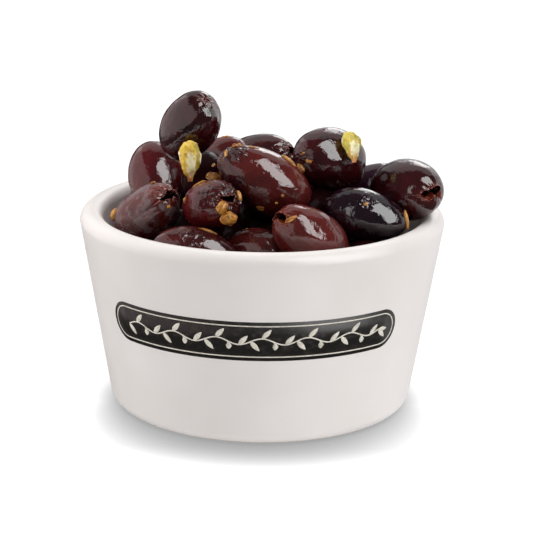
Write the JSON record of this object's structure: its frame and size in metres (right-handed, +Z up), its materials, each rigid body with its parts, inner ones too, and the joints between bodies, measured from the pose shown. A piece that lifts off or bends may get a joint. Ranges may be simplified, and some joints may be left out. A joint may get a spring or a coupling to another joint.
{
  "type": "dish of olives",
  "caption": "Small flared stoneware dish heaped with glossy pitted dark olives, spice seeds and pale pods, for a starter or drinks table.",
  "frame": {"origin": "centre of the foot ring, on the surface that the dish stands on", "axes": "+Z up out of the dish, -Y towards the banded front, +X to the right seen from the front"},
  "size_m": [0.1, 0.1, 0.0877],
  "materials": {
    "stoneware": "soft satin off-white glaze, with a dark band fired on the front",
    "olive_skin": null,
    "pod_skin": null
  },
  "bodies": {
    "root": {"dish": "stoneware", "olive_heap": "olive_skin", "pod_left": "pod_skin", "pod_right": "pod_skin"}
  },
  "joints": []
}
